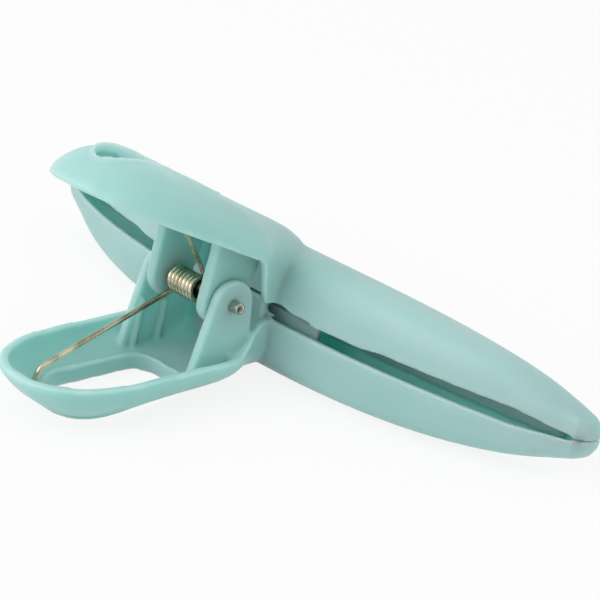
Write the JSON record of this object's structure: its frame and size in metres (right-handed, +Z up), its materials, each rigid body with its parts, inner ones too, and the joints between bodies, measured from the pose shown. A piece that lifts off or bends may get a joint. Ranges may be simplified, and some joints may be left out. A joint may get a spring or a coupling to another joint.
{
  "type": "clothespin",
  "caption": "Wide-jaw spring clothespin: two hollow moulded shells with long bowed jaws and open tub handles, hinged on a pin and held shut by a torsion spring.",
  "frame": {"origin": "centre of the bounding box's bottom face, on the surface that the closed clip rests on", "axes": "+X along the pivot pin and the jaws' length, +Y towards the jaws, +Z up"},
  "size_m": [0.1698, 0.0822, 0.0547],
  "materials": {
    "mint_plastic_lower": "satin mint moulding",
    "mint_plastic_upper": "satin mint moulding",
    "pin_steel": "drawn steel, ends turned",
    "spring_steel": "bright drawn spring wire"
  },
  "bodies": {
    "lower": {"lower_jaw": "mint_plastic_lower", "pivot_pin": "pin_steel", "torsion_spring": "spring_steel"},
    "upper": {"upper_jaw": "mint_plastic_upper"}
  },
  "joints": [
    {"name": "jaw_hinge", "type": "hinge", "parent": "lower", "child": "upper", "pos_m": [0, 0.00487, 0.01986], "axis": [1, 0, 0], "range_deg": [0, 45], "stiffness_Nm_per_rad": 0.12, "springref_deg": -34.38, "deforming": ["torsion_spring"]}
  ]
}
